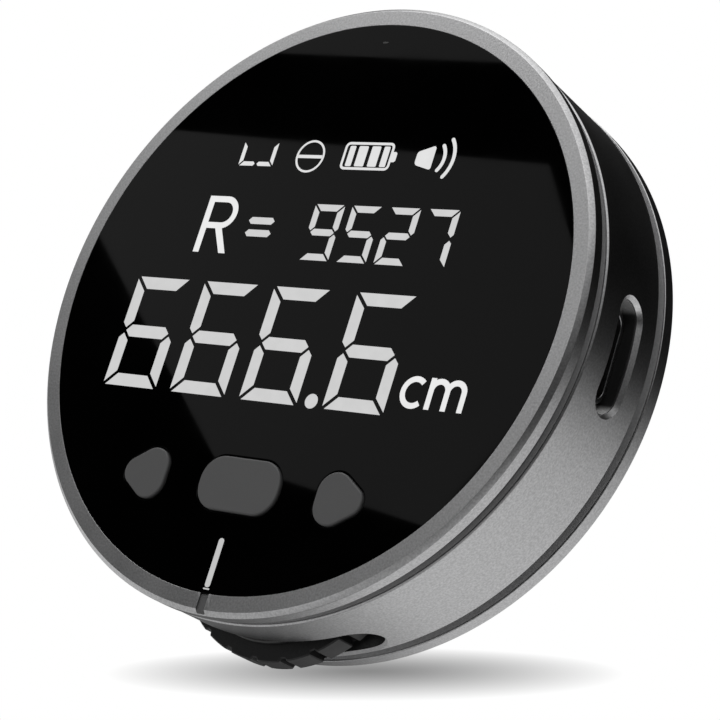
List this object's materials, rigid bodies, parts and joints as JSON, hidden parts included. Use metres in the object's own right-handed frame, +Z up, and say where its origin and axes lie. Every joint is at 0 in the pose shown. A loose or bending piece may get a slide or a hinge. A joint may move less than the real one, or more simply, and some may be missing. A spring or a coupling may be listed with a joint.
{
  "type": "electronic measuring wheel",
  "caption": "Round pocket measuring wheel: metal case, glass display, push buttons, charging port and a rubber-tyred wheel that rolls along the measured edge.",
  "frame": {"origin": "under the middle of the case's thickness, at the lowest point of the wheel, where it touches the surface that is measured", "axes": "+Z up the display, +X to the right of the display, +Y from the display through to the back cover, along the wheel's axle"},
  "size_m": [0.062, 0.0164, 0.0636],
  "materials": {
    "case_metal": "fine bead-blasted grey anodising",
    "front_glass": "polished, printed black from behind",
    "display_light": "lit white figures",
    "button_plastic": "fine matte",
    "tyre_rubber": "matte black rubber",
    "inner_plastic": "moulded black",
    "board_laminate": "solder mask",
    "steel": "plain",
    "bronze": "sintered",
    "cell_foil": "laminated foil pouch",
    "ribbon": "polyimide film"
  },
  "bodies": {
    "case": {"bezel_ring": "case_metal", "body_ring": "case_metal", "back_cover": "case_metal", "inner_frame": "inner_plastic", "front_glass": "front_glass", "glass_gasket": "inner_plastic", "tact_switch_left": "steel", "tact_switch_middle": "steel", "tact_switch_right": "steel", "lcd_panel": "front_glass", "backlight": "display_light", "lcd_frame": "inner_plastic", "lcd_flex": "ribbon", "main_board": "board_laminate", "controller_chip": "inner_plastic", "charger_chip": "inner_plastic", "buzzer": "inner_plastic", "battery": "cell_foil", "port_shell": "steel", "port_tongue": "inner_plastic", "axle": "steel", "axle_clip": "steel", "wheel_bracket": "inner_plastic", "encoder_sensor": "inner_plastic", "board_screw_1": "steel", "board_screw_2": "steel", "board_screw_3": "steel", "bracket_screw_1": "steel", "bracket_screw_2": "steel", "cover_screw_1": "steel", "cover_screw_2": "steel", "cover_screw_3": "steel", "cover_screw_4": "steel"},
    "wheel": {"tyre": "tyre_rubber", "wheel_hub": "inner_plastic", "encoder_disc": "steel", "wheel_bush": "bronze"},
    "left_button": {"button_left": "button_plastic", "plunger_left": "inner_plastic"},
    "middle_button": {"button_middle": "button_plastic", "plunger_middle": "inner_plastic"},
    "right_button": {"button_right": "button_plastic", "plunger_right": "inner_plastic"}
  },
  "joints": [
    {"name": "wheel_spin", "type": "hinge", "parent": "case", "child": "wheel", "pos_m": [0, 0, 0.01295], "axis": [0, 1, 0], "continuous": true},
    {"name": "left_press", "type": "slide", "parent": "case", "child": "left_button", "axis": [0, 1, 0], "range_m": [0, 0.0004], "stiffness_N_per_m": 2000, "springref_m": -0.0003},
    {"name": "middle_press", "type": "slide", "parent": "case", "child": "middle_button", "axis": [0, 1, 0], "range_m": [0, 0.0004], "stiffness_N_per_m": 2000, "springref_m": -0.0003},
    {"name": "right_press", "type": "slide", "parent": "case", "child": "right_button", "axis": [0, 1, 0], "range_m": [0, 0.0004], "stiffness_N_per_m": 2000, "springref_m": -0.0003}
  ]
}
